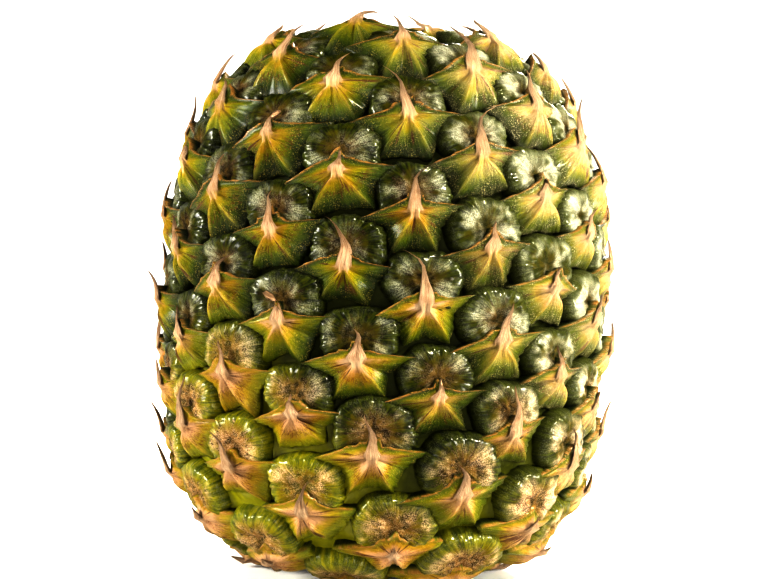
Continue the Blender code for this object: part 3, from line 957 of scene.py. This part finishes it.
def leaf_colour(finish, on):
    """The strip, gold where ripe, painted paler toward the light and greener up high away from it, with
    orange, peach and rust patches.
    """
    position = on.reach + (on.fibres - 0.5) * 0.26 + (on.mottle - 0.5) * 0.66 + (on.tone - 0.5) * 0.24
    # Crests are read off paler: partly their colour, partly a painted highlight along the ridges.
    position = position * (1 - on.ripe * 0.44) - on.crest * (0.12 - on.reach * 0.08) - on.upper * 0.10
    # Painted shade: the strip is read a little greener up high on the side away from the key light.
    position = position + (1 - on.low) * (1 - on.lit) * 0.09
    colour = finish.ramp(position, BRACT_STRIP)
    gold = finish.mix(finish.smooth(on.mottle, 0.40, 0.62), *LEAF_GOLDS)
    colour = finish.mix(on.ripe * finish.smooth(position, 0.34, 0.56), colour, gold)
    # Painted light: paler low down on the side toward the key light.
    painted_light = on.lit * on.low * 0.35 * finish.smooth(position, 0.50, 0.80)
    colour = finish.mix(painted_light, colour, LEAF_PAINTED_LIGHT)
    warm = finish.smooth(on.patches + (on.shade - 0.5) * 0.30 + on.upper * 0.06, 0.51, 0.69)
    warm = warm * (1 - finish.smooth(position, 0.36, 0.66)) * finish.smooth(on.reach, 0.10, 0.30)
    # Less orange toward the key light, as part of the painted light.
    colour = finish.mix(warm * (0.58 - on.lit * 0.36 - on.ripe * 0.22), colour, LEAF_ORANGE)
    peach = on.old * (1 - finish.smooth(on.reach + (on.fibres - 0.5) * 0.5, 0.26, 0.56)) * on.leafy
    colour = finish.mix(peach * 0.84, colour, LEAF_PEACH)
    rust = peach * finish.smooth(on.grain, 0.50, 0.60) * finish.smooth(on.mottle, 0.42, 0.58)
    return finish.mix(rust * 0.70, colour, LEAF_RUST)


print(len(BRACT_STRIP), "shades from paper to leaf")

# %% The spine's colours
PAPERS = ((0.225, 0.132, 0.066), (0.460, 0.355, 0.246))
PAPER_BROWN = (0.265, 0.155, 0.072)
PAPER_TIP = (0.310, 0.180, 0.075)
PAPER_AGED_AND_LIT = (0.470, 0.360, 0.245)


def paper_colour(finish, on):
    """Fibres of two browns with mottles, a darker tip, and paler where it is old, and toward the light as
    painted light.
    """
    colour = finish.mix(finish.smooth(on.fibres, 0.36, 0.62), *PAPERS)
    colour = finish.mix(finish.smooth(on.mottle, 0.50, 0.66) * 0.50, colour, PAPER_BROWN)
    colour = finish.mix(finish.smooth(-1 * on.reach, 0.60, 1.0) * 0.4, colour, PAPER_TIP)
    # Partly real: paler with age; partly painted light: paler toward the key light.
    return finish.mix(on.lit * 0.35 + on.old * 0.15, colour, PAPER_AGED_AND_LIT)


print("paper from", PAPERS[0], "to", PAPERS[1])

# %% The marks on a bract
CREST_PALE_AND_HIGHLIGHT = (0.340, 0.270, 0.050)
TORN_BROWN = (0.270, 0.140, 0.035)
SLIT_BROWN = (0.060, 0.018, 0.005)
STITCH_BROWN = (0.090, 0.024, 0.006)


def bract_marks(finish, on, colour):
    """Pale crests, partly a painted highlight, a brown torn rim, dark slits along the fibres, and a row of
    stitches.
    """
    # Partly painted highlight: the ridges of the legs are painted pale, as if catching the light.
    crest = on.crest * finish.band(on.reach, 0.20, 0.40, 0.55, 0.92) * on.leafy
    colour = finish.mix(crest * (0.15 + 0.45 * on.shade), colour, CREST_PALE_AND_HIGHLIGHT)
    rim = on.upper * finish.band(on.reach, 0.80, 0.95, 0.985, 1.01)
    colour = finish.mix(rim * finish.smooth(on.fibres, 0.35, 0.55) * 0.8, colour, TORN_BROWN)
    slit = finish.smooth(on.stains, 0.59, 0.65) * finish.band(on.reach, 0.10, 0.25, 0.60, 0.85)
    colour = finish.mix(slit * 0.85, colour, SLIT_BROWN)
    row = finish.band(on.reach + (on.stains - 0.5) * 0.5, 0.34, 0.44, 0.56, 0.66) * (1 - on.upper)
    stitched = finish.smooth(on.shade + on.ripe * 0.3, 0.35, 0.55)
    stitches = row * finish.smooth(on.fine, 0.52, 0.58) * stitched
    return finish.mix(stitches * 0.75, colour, STITCH_BROWN)


print("marks of a bract: crests, rim, slits and stitches")

# %% The whole bract
SUGAR_AND_SHEEN = ((0.440, 0.350, 0.090), (0.420, 0.400, 0.280))
PAINTED_SHEEN = (0.370, 0.290, 0.190)
SKIRT_PAINTED_SHADE = (0.010, 0.015, 0.001)


def bract_finish():
    """Paper and leaf, marks, sugary grains, a middle painted paler toward the light as sheen, and a skirt
    painted dark as shade.
    """
    finish = Finish("bract and spine")
    on = bract_patterns(finish)
    colour = finish.mix(on.leafy, paper_colour(finish, on), leaf_colour(finish, on))
    colour = bract_marks(finish, on, colour)
    sugar = finish.smooth(1 - on.grain, 0.54, 0.64) * finish.smooth(on.mottle, 0.38, 0.58) * on.leafy
    # Sugary grains are real, but more and creamier toward the key light, which is painted sheen.
    share = sugar * (0.42 + 0.30 * on.lit - 0.16 * on.ripe)
    colour = finish.mix(share, colour, finish.mix(on.lit, *SUGAR_AND_SHEEN))
    # Painted sheen: the leaf's middle turns pale cream on the side toward the key light.
    pale = on.leafy * on.lit * (0.36 + 0.40 * finish.smooth(on.mottle, 0.35, 0.58))
    pale = pale * (1 - 0.85 * finish.smooth(on.reach + (on.mottle - 0.5) * 0.6, 0.35, 0.70))
    colour = finish.mix(pale, colour, PAINTED_SHEEN)
    # Painted shade: the skirt under the bract's edge is painted near black, as the gap in the furrow.
    skirt_shade = finish.smooth(on.reach, 0.985, 1.02) * (1 - on.ripe * 0.25 * (1 - on.upper))
    colour = finish.mix(skirt_shade, colour, SKIRT_PAINTED_SHADE)
    roughness = 0.60 - 0.18 * on.leafy + 0.20 * sugar
    height = on.fibres * 0.7 + on.mottle * 0.7 + on.grain * 0.25
    finish.mirroring(0.12)
    finish.wax(on.leafy * (1 - sugar) * finish.smooth(on.reach, 0.40, 0.65) * 0.15)
    return finish.finish_with(colour, roughness, height, 0.0013)


bract_material = bract_finish()

# %% Make the bracts, from the crown down
make_pieces("bracts", bract_rings, 33, bract_material)

# %% [markdown]
# ## The cut stem
#
# The stem is cut level just under the fruit, which stands on the cut. A cylinder would do, but its
# edge would be too clean, so it is a profile turned round the axis, as on a lathe, and rippled by
# bundles of fibre. The scar on top is made with the same function.

# %% The stem stub
STUB_TOP = float(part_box("stem_stub")[1][2])
STUB_RADIUS = 12.5 * MM
ROUND_CORNERS = 96
STEM_SHAPE = ((0, 0, 0), (0.35, 0, 0), (0.75, 0, 0), (0.98, 0, 0.01), (1, 0.25 * MM, 0.02),
              (0.99, 2.0 * MM, 0.03), (0.96, 4.6 * MM, 0.03), (0.80, STUB_TOP, 0.01), (0, STUB_TOP, 0))
STEM_BROWNS = ((0.16, 0.09, 0.04), (0.50, 0.36, 0.20))


def turned_shape(stations, radius, base, corners, ripple):
    """A ring per station: its share of the radius, times 1 + amount x ripple of the turn.

    A station also gives the ring's rise over the base.
    """
    share, rise, amount = np.array(stations, dtype=float).T[..., None]
    turn = np.arange(corners) / corners * 2 * math.pi
    reach = share * radius * (1 + amount * ripple(turn))
    height = np.broadcast_to(base + rise, reach.shape)
    return np.stack([reach * np.sin(turn), -reach * np.cos(turn), height], -1)


def stem_ripple(turn):
    """Bundles of fibre round the stem."""
    return np.sin(17 * turn) * 0.6 + np.sin(31 * turn + 1) * 0.4


def dry_finish(name, browns, roughness):
    """Dry plant fibre: a fine grain between two browns."""
    finish = Finish(name)
    place = finish.place()
    grain = finish.noise(place, 900.0, 4.0, 0.7)
    blotch = finish.noise(place, 160.0, 2.0)
    colour = finish.mix(finish.smooth(grain * 0.6 + blotch * 0.4, 0.38, 0.62), *browns)
    return finish.finish_with(colour, roughness, grain, 0.0008)


stem_points = turned_shape(STEM_SHAPE, STUB_RADIUS, 0, ROUND_CORNERS, stem_ripple)
stem = closed_shapes("cut_stem", stem_points[None, ::-1], {})
dress(stem, dry_finish("cut stem", STEM_BROWNS, 0.85), "stem_stub", "dry_stem")

# %% [markdown]
# ## Dry blades
#
# A few dry brown scales, the last small leaves below the fruit, are pressed flat between the fruit
# and the table, and the stumps of the crown's leaves stand round the scar. Planes cut to shape would
# look like paper, so both are thin closed blades. One function makes them: a section with a fold
# along its middle, carried from the root out to a blunt tip.

# %% A ring of dry blades
BLADE_ROWS = 12
BLADE_COLUMNS = 11


def spaced(count, random):
    """Angles round the axis, evenly spaced but for a little chance."""
    return (np.arange(count) + random.uniform(-0.3, 0.3, count)) / count * 2 * math.pi


def dry_blades(angle, root, length, width, base, slope, thick, random):
    """Blades round the axis: from the root out by out x length, at base + slope(out).

    Width: 1 - out^3 times a sine, so that each tapers to a blunt tip. The top has a low fold along
    its middle, and the back lies a thickness under it, as sqrt(1 - across^6).
    """
    out = np.linspace(0, 1, BLADE_ROWS)[None, :, None]
    front = np.linspace(-1, 1, BLADE_COLUMNS)
    across = np.concatenate([front, front[-2:0:-1]])[None, None, :]
    back = (np.arange(across.shape[2]) >= BLADE_COLUMNS)[None, None, :]
    draw = random.uniform(0, 1, (4, len(angle), 1, 1))
    taper = 1 - out ** 3 * (0.75 + 0.2 * draw[0])
    taper = taper * (0.75 + 0.25 * np.sin(math.pi * (out * 0.8 + 0.1)))
    reach = root[:, None, None] + out * length[:, None, None] * (1 - 0.12 * across ** 2)
    reach = reach + 0.5 * MM * np.sin(7 * across + ANY_START * draw[1]) * out ** 2
    side = across * width[:, None, None] / 2 * taper
    height = base + slope(out) + 0.25 * MM * np.sin(5 * across + ANY_START * draw[2]) * out
    height = height + 0.5 * MM * (1 - np.abs(across)) * (1 - out)
    height = height - np.where(back, thick, 0) * np.sqrt((1 - across ** 6).clip(0))
    turn = angle[:, None, None]
    return np.stack([reach * np.sin(turn) + side * np.cos(turn),
                     -reach * np.cos(turn) + side * np.sin(turn), np.maximum(height, LOWEST)], -1)


print(f"a blade has {BLADE_ROWS} rows and {2 * BLADE_COLUMNS - 2} corners round it")

# %% The scales under the fruit
SCALES = 17
SCALE_ROOT = 10.5 * MM
SCALE_BASE = 1.3 * MM
SCALE_LIFT = 0.5 * MM
SCALE_THICKNESS = 0.5 * MM
SCALE_BROWNS = ((0.050, 0.022, 0.010), (0.240, 0.130, 0.060))
scale_random = np.random.default_rng(17)
scale_points = dry_blades(spaced(SCALES, scale_random), np.full(SCALES, SCALE_ROOT),
                          scale_random.uniform(10, 17, SCALES) * MM,
                          scale_random.uniform(6.0, 8.5, SCALES) * MM,
                          SCALE_BASE, lambda out: SCALE_LIFT * out ** 2, SCALE_THICKNESS, scale_random)
scales = closed_shapes("dry_scales", scale_points, {})
dress(scales, dry_finish("dry scales", SCALE_BROWNS, 0.8), "stem_stub", "dry_stem")

# %% [markdown]
# ## The scar of the crown
#
# Twisting the crown off leaves a round scar: a rough disc of torn fibre, ringed by the stumps of
# the crown's lowest leaves. The roughness could be bump alone, but the scar is seen from the side,
# so it is in the shape: ripples round the rings, and a coarser wave across the top.

# %% The scar
SCAR_BASE = float(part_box("crown_scar")[0][2])
SCAR_RADIUS = 11.5 * MM
SCAR_SHAPE = ((0, 0, 0), (0.9, 0, 0), (1, 0.6 * MM, 0.02), (0.97, 1.8 * MM, 0.03), (0.84, 2.3 * MM, 0.04),
              (0.66, 1.8 * MM, 0.05), (0.48, 2.4 * MM, 0.06), (0.30, 2.0 * MM, 0.06),
              (0.14, 2.5 * MM, 0.05), (0, 2.2 * MM, 0))
SCAR_TORN_ABOVE = 1.5 * MM
SCAR_TORN_BY = 0.35 * MM
SCAR_BROWNS = ((0.11, 0.055, 0.024), (0.46, 0.34, 0.20))


def torn_ripple(turn):
    """Torn fibre ends round the scar."""
    return np.sin(23 * turn) * 0.5 + np.sin(41 * turn + 2) * 0.5


scar_points = turned_shape(SCAR_SHAPE, SCAR_RADIUS, SCAR_BASE, ROUND_CORNERS, torn_ripple)
x, y, z = np.moveaxis(scar_points, -1, 0)
torn_by = np.where(z > SCAR_BASE + SCAR_TORN_ABOVE, SCAR_TORN_BY, 0)
scar_points[..., 2] = z + torn_by * np.sin(7 * np.arctan2(x, y) + 0.9 / MM * z)
scar = closed_shapes("torn_scar", scar_points[None, :, ::-1], {})
dress(scar, dry_finish("torn scar", SCAR_BROWNS, 0.85), "crown_scar", "dry_scar")

# %% The leaf stumps
STUMPS = 22
STUMP_BASE = SCAR_BASE + 1.0 * MM
STUMP_RISE = 3.2 * MM
STUMP_THICKNESS = 0.9 * MM
STUMP_BROWNS = ((0.10, 0.075, 0.025), (0.36, 0.27, 0.13))
stump_random = np.random.default_rng(19)
stump_points = dry_blades(spaced(STUMPS, stump_random), stump_random.uniform(8.5, 12.5, STUMPS) * MM,
                          stump_random.uniform(3.0, 6.5, STUMPS) * MM,
                          stump_random.uniform(4.5, 7.5, STUMPS) * MM,
                          STUMP_BASE, lambda out: STUMP_RISE * out ** 0.8, STUMP_THICKNESS, stump_random)
stumps = closed_shapes("leaf_stumps", stump_points, {})
dress(stumps, dry_finish("leaf stumps", STUMP_BROWNS, 0.6), "crown_scar", "dry_scar")

# %% [markdown]
# ## Floor and light
#
# The fruit stands on a pale floor that curves up into a pale wall all round. A small warm light at
# the upper right stands for the sun and gives the wet highlights. Softer ones at both sides, in
# front and behind fill the shade, and two more keep the wall behind the fruit white. A plain white
# background would need no floor, but then the fruit would cast no shadow and seem to float.

# %% The floor
FLOOR_RADIUS = 3.0
FLOOR_BEND = 0.8
FLOOR_MIDDLE = 1.0
BEND_STEPS = 12
WALL_TOP = 3.0
FLOOR_CORNERS = 128
FLOOR_COLOUR = (0.86, 0.86, 0.86, 1)
FLOOR_ROUGHNESS = 0.9


def floor_mesh():
    """A flat disc, a quarter circle up from its edge, and a straight wall above."""
    bend = np.linspace(0, math.pi / 2, BEND_STEPS)
    stations = [(FLOOR_MIDDLE, 0, 0)]
    stations += [(FLOOR_RADIUS + FLOOR_BEND * math.sin(t), FLOOR_BEND * (1 - math.cos(t)), 0) for t in bend]
    stations += [(FLOOR_RADIUS + FLOOR_BEND, WALL_TOP, 0)]
    rings = turned_shape(stations, 1, 0, FLOOR_CORNERS, np.zeros_like)
    ring = np.arange(FLOOR_CORNERS)
    after = (ring + 1) % FLOOR_CORNERS
    low = (np.arange(len(rings) - 1) * FLOOR_CORNERS)[:, None]
    higher = low + FLOOR_CORNERS
    quads = np.stack([low + ring, higher + ring, higher + after, low + after], -1)
    mesh = bpy.data.meshes.new("floor")
    mesh.from_pydata(rings.reshape(-1, 3), [], quads.reshape(-1, 4).tolist() + [ring.tolist()])
    mesh.shade_smooth()
    return mesh


floor = bpy.data.objects.new("floor", floor_mesh())
bpy.context.collection.objects.link(floor)
pale = Finish("pale floor")
pale.shader.inputs["Base Color"].default_value = FLOOR_COLOUR
pale.shader.inputs["Roughness"].default_value = FLOOR_ROUGHNESS
floor.data.materials.append(pale.material)
print("floor", 2 * (FLOOR_RADIUS + FLOOR_BEND), "m wide")

# %% The lights
MIDDLE = (0, 0, SKIN_MIDDLE)
LIGHTS = (
    # name, place, what it faces, width in metres, watts, colour
    ("key", (0.74, -0.74, 0.86), MIDDLE, 0.16, 40.5, (1.0, 0.945, 0.82)),
    ("fill", (0.35, -1.2, 0.08), MIDDLE, 0.5, 14, (1.0, 0.98, 0.94)),
    ("right side", (0.95, -0.30, 0.28), MIDDLE, 0.3, 25, (1.0, 0.98, 0.93)),
    ("left side", (-0.95, -0.20, 0.28), MIDDLE, 0.36, 34, (1.0, 0.98, 0.94)),
    ("behind", (0.25, 1.1, 0.6), MIDDLE, 0.4, 34, (1.0, 0.98, 0.94)),
    ("wall left", (-1.6, 1.6, 0.9), (-0.8, 3.8, 0.8), 1.2, 50, (1.0, 1.0, 1.0)),
    ("wall right", (1.6, 1.6, 0.9), (0.8, 3.8, 0.8), 1.2, 50, (1.0, 1.0, 1.0)),
)
SURROUNDINGS = 0.06
VIEW_GAMMA = 0.56


def soft_light(name, place, aim, width, power, colour):
    """A square area light at a place, turned to face a point."""
    light = bpy.data.lights.new(name, "AREA")
    light.size = width
    light.energy = power
    light.color = colour
    thing = bpy.data.objects.new(name, light)
    bpy.context.collection.objects.link(thing)
    thing.location = place
    direction = np.array(aim) - np.array(place)
    thing.rotation_euler = (math.atan2(math.hypot(*direction[:2]), -direction[2]), 0,
                            math.atan2(direction[1], direction[0]) - math.pi / 2)


for light in LIGHTS:
    soft_light(*light)
world = bpy.data.worlds.new("surroundings")
world.use_nodes = True
world.node_tree.nodes["Background"].inputs[0].default_value = (1.0, 1.0, 1.0, 1)
world.node_tree.nodes["Background"].inputs[1].default_value = SURROUNDINGS
bpy.context.scene.world = world
bpy.context.scene.view_settings.view_transform = "Standard"
bpy.context.scene.view_settings.gamma = VIEW_GAMMA
print(len(LIGHTS), "lights,", sum(light[4] for light in LIGHTS), "watts")

# %% [markdown]
# ## The camera
#
# It looks level at the middle of the fruit, held a little out of true. A long lens from far off
# would show all fruitlets alike; from close by, the near ones look larger than those at the sides.

# %% Place the camera
CAMERA_DISTANCE = 0.4180
CAMERA_HEIGHT = 0.0774
CAMERA_ASIDE = 0.0002
CAMERA_TURN = math.radians(2.2)
CAMERA_LENS = 69.7
CAMERA_SENSOR = 36
camera = bpy.data.cameras.new("camera")
camera.lens = CAMERA_LENS
camera.sensor_width = CAMERA_SENSOR
camera_object = bpy.data.objects.new("camera", camera)
bpy.context.collection.objects.link(camera_object)
camera_object.location = (CAMERA_ASIDE, -CAMERA_DISTANCE, CAMERA_HEIGHT)
camera_object.rotation_euler = (math.pi / 2, -CAMERA_TURN, 0)
bpy.context.scene.camera = camera_object
print(f"camera {1000 * CAMERA_DISTANCE:.0f} mm in front, {CAMERA_LENS} mm lens")
